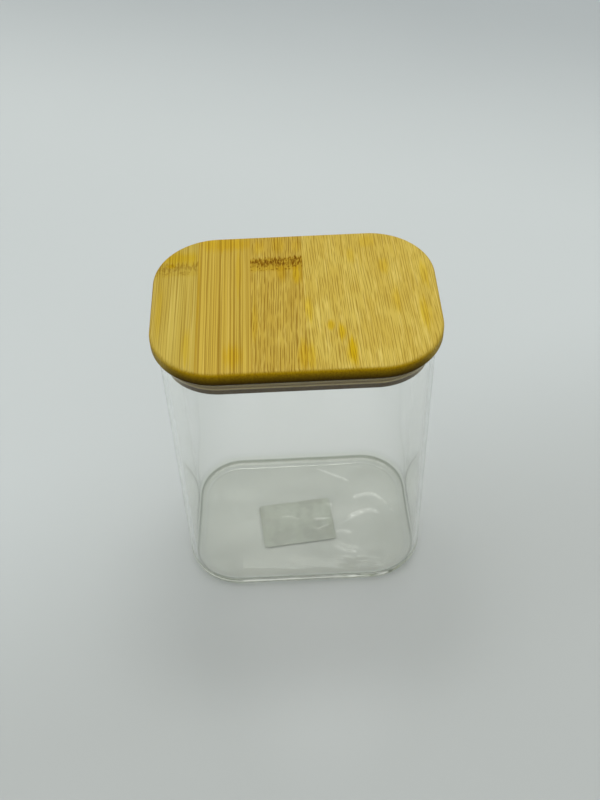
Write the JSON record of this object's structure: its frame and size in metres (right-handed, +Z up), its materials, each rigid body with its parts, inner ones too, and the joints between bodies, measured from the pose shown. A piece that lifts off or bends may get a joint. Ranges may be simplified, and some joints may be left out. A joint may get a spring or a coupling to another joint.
{
  "type": "glass storage jar",
  "caption": "Upright rectangular glass jar with rounded corners and a raised base, closed by a lift-off laminated bamboo lid with a silicone seal ring.",
  "frame": {"origin": "on the floor under the middle of the jar, in the plane of the foot ring", "axes": "+Z up, X along the long side, +Y towards the back"},
  "size_m": [0.115, 0.081, 0.145],
  "materials": {
    "glass": "gloss",
    "bamboo": "satin",
    "silicone": "satin",
    "label_paper": "matte"
  },
  "bodies": {
    "jar": {"glass_jar": "glass", "base_label": "label_paper"},
    "lid": {"top_stave_1": "bamboo", "top_stave_2": "bamboo", "top_stave_3": "bamboo", "top_stave_4": "bamboo", "top_stave_5": "bamboo", "top_stave_6": "bamboo", "plug_stave_1": "bamboo", "plug_stave_2": "bamboo", "plug_stave_3": "bamboo", "plug_stave_4": "bamboo", "plug_stave_5": "bamboo", "seal_ring": "silicone"}
  },
  "joints": [
    {"name": "lid_lift", "type": "slide", "parent": "jar", "child": "lid", "axis": [0, 0, 1], "range_m": [0, 0.15]}
  ]
}
